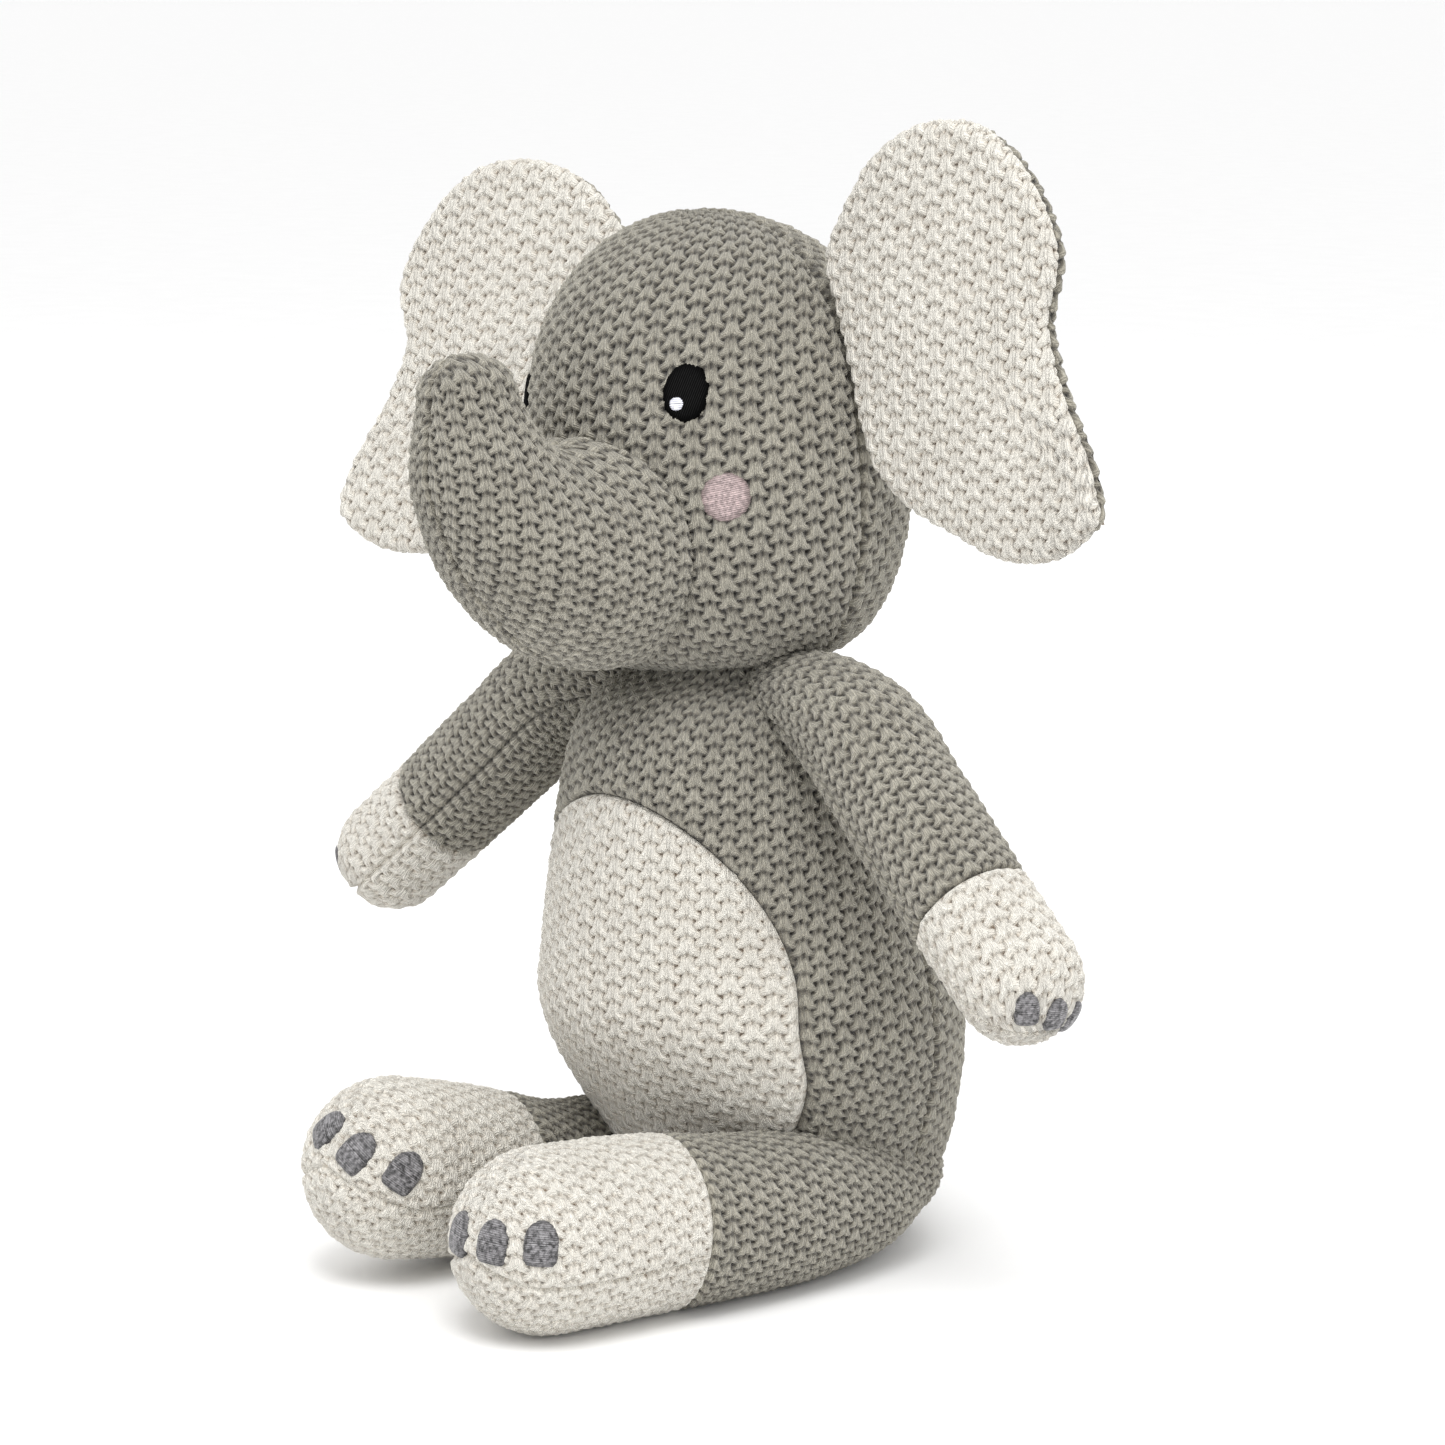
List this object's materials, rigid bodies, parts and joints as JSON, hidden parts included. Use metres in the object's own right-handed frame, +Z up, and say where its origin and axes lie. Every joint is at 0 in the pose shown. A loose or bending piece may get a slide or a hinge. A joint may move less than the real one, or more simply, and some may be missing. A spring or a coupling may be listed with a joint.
{
  "type": "stuffed toy elephant",
  "caption": "Seated knitted toy elephant with large two-tone ears, raised trunk, oval belly patch, contrasting paws and feet, and stitched eyes, cheeks and nails.",
  "frame": {"origin": "on the surface the toy sits on, on the flat of the seat between the legs", "axes": "+Z up, the toy faces -Y, its left side is +X"},
  "size_m": [0.2397, 0.1592, 0.2611],
  "materials": {
    "grey_knit": "chunky cotton tuck-stitch knit, matt",
    "cream_knit": "chunky cotton tuck-stitch knit, matt",
    "filling": "loose polyester fibre",
    "black_thread": "satin-stitch embroidery, slight sheen",
    "pale_thread": "satin-stitch embroidery, slight sheen",
    "pink_thread": "satin-stitch embroidery, slight sheen",
    "nail_thread": "satin-stitch embroidery, slight sheen"
  },
  "bodies": {
    "torso": {"body_front_panel": "grey_knit", "belly_patch": "cream_knit", "body_back_panel": "grey_knit", "body_filling": "filling"},
    "head": {"head_front_panel": "grey_knit", "head_back_panel": "grey_knit", "head_filling": "filling", "eye_left": "black_thread", "eye_left_highlight": "pale_thread", "cheek_left": "pink_thread", "eye_right": "black_thread", "eye_right_highlight": "pale_thread", "cheek_right": "pink_thread"},
    "trunk": {"trunk_left_panel": "grey_knit", "trunk_right_panel": "grey_knit", "trunk_filling": "filling"},
    "ear_left": {"ear_left_front_panel": "cream_knit", "ear_left_back_panel": "grey_knit", "ear_left_wadding": "filling"},
    "arm_left": {"arm_left_sleeve": "grey_knit", "arm_left_paw": "cream_knit", "arm_left_filling": "filling", "arm_left_nail_1": "nail_thread", "arm_left_nail_2": "nail_thread", "arm_left_nail_3": "nail_thread"},
    "leg_left": {"leg_left_upper": "grey_knit", "leg_left_instep": "cream_knit", "leg_left_sole": "cream_knit", "leg_left_filling": "filling", "leg_left_nail_1": "nail_thread", "leg_left_nail_2": "nail_thread", "leg_left_nail_3": "nail_thread"},
    "ear_right": {"ear_right_front_panel": "cream_knit", "ear_right_back_panel": "grey_knit", "ear_right_wadding": "filling"},
    "arm_right": {"arm_right_sleeve": "grey_knit", "arm_right_paw": "cream_knit", "arm_right_filling": "filling", "arm_right_nail_1": "nail_thread", "arm_right_nail_2": "nail_thread", "arm_right_nail_3": "nail_thread"},
    "leg_right": {"leg_right_upper": "grey_knit", "leg_right_instep": "cream_knit", "leg_right_sole": "cream_knit", "leg_right_filling": "filling", "leg_right_nail_1": "nail_thread", "leg_right_nail_2": "nail_thread", "leg_right_nail_3": "nail_thread"}
  },
  "joints": [
    {"name": "head_turn", "type": "hinge", "parent": "torso", "child": "head", "pos_m": [0, -0.0065, 0.1345], "axis": [-0.1044, 0.0055, 0.9945], "range_deg": [-35, 35]},
    {"name": "trunk_bend", "type": "hinge", "parent": "head", "child": "trunk", "pos_m": [-0.00605, -0.05505, 0.16782], "axis": [0.9932, -0.052, 0.1045], "range_deg": [-8, 20]},
    {"name": "ear_left_flap", "type": "hinge", "parent": "head", "child": "ear_left", "pos_m": [0.03848, -0.00251, 0.21091], "axis": [-0.3204, 0.0168, 0.9471], "range_deg": [-30, 30]},
    {"name": "ear_right_flap", "type": "hinge", "parent": "head", "child": "ear_right", "pos_m": [-0.05289, 0.00228, 0.2013], "axis": [0.1506, 0.202, 0.9677], "range_deg": [-30, 30]},
    {"name": "arm_left_raise", "type": "hinge", "parent": "torso", "child": "arm_left", "pos_m": [0.047, -0.013, 0.124], "axis": [0, -1, 0], "range_deg": [-30, 40]},
    {"name": "arm_right_raise", "type": "hinge", "parent": "torso", "child": "arm_right", "pos_m": [-0.047, -0.013, 0.124], "axis": [0, 1, 0], "range_deg": [-30, 40]},
    {"name": "leg_left_splay", "type": "hinge", "parent": "torso", "child": "leg_left", "pos_m": [0.033, 0.007, 0.0172], "axis": [0, 0, 1], "range_deg": [-4, 35]},
    {"name": "leg_right_splay", "type": "hinge", "parent": "torso", "child": "leg_right", "pos_m": [-0.029, 0.011, 0.0172], "axis": [0, 0, -1], "range_deg": [-4, 35]}
  ]
}
